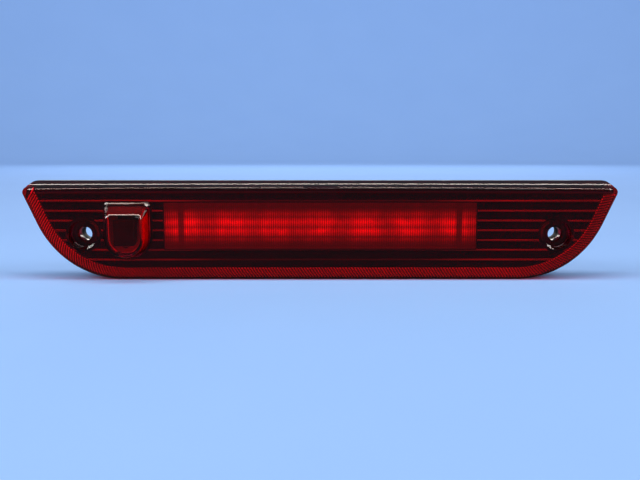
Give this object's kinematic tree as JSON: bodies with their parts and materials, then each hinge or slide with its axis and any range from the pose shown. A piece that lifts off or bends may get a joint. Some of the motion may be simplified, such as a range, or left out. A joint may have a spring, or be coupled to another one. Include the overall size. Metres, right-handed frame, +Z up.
{
  "type": "third brake light",
  "caption": "Wide red high-level brake lamp with slanted ends, a row of LEDs behind a ribbed bezel, and a washer jet under a hood.",
  "frame": {"origin": "on the mounting plane, midway between the two screw axes", "axes": "+X along the lamp's width, to the right seen from the front; +Y towards the vehicle, normal to the mounting plane; +Z up as mounted"},
  "size_m": [0.32, 0.052, 0.0534],
  "materials": {
    "red_lens": "glossy clear red acrylic",
    "housing_plastic": "fine-grained black moulding",
    "bezel_plastic": "glossy near-black moulding",
    "optic_plastic": "clear red, fine vertical flutes",
    "metallised_plastic": "vacuum-metallised",
    "board_laminate": "green solder mask",
    "led_resin": "clear resin in a pale package",
    "plated_steel": "zinc-plated",
    "chip_ceramic": "black coated",
    "tinned_brass": "tin-plated",
    "seal_rubber": "moulded rubber",
    "seal_foam": "closed-cell foam",
    "jet_plastic": "black acetal",
    "jet_brass": "turned brass"
  },
  "bodies": {
    "lamp": {"outer_lens": "red_lens", "rear_housing": "housing_plastic", "inner_bezel": "bezel_plastic", "inner_optic": "optic_plastic", "reflector": "metallised_plastic", "circuit_board": "board_laminate", "led_1": "led_resin", "led_2": "led_resin", "led_3": "led_resin", "led_4": "led_resin", "led_5": "led_resin", "led_6": "led_resin", "led_7": "led_resin", "board_screw_1": "plated_steel", "board_screw_2": "plated_steel", "board_screw_3": "plated_steel", "board_screw_4": "plated_steel", "resistor_1": "chip_ceramic", "resistor_2": "chip_ceramic", "resistor_3": "chip_ceramic", "resistor_4": "chip_ceramic", "reverse_diode": "chip_ceramic", "connector_shell": "housing_plastic", "terminal_1": "tinned_brass", "terminal_2": "tinned_brass", "vent_cap": "seal_rubber", "perimeter_gasket": "seal_foam", "boss_seal_left": "seal_foam", "screw_sleeve_left": "plated_steel", "boss_seal_right": "seal_foam", "screw_sleeve_right": "plated_steel", "jet_body": "jet_plastic", "jet_retainer": "jet_plastic", "jet_seal": "seal_rubber"},
    "jet_nozzle": {"jet_ball": "jet_brass"}
  },
  "joints": [
    {"name": "jet_tilt", "type": "hinge", "parent": "lamp", "child": "jet_nozzle", "pos_m": [-0.10316, -0.0231, -0.0037], "axis": [1, 0, 0], "range_deg": [-10, 10]}
  ]
}
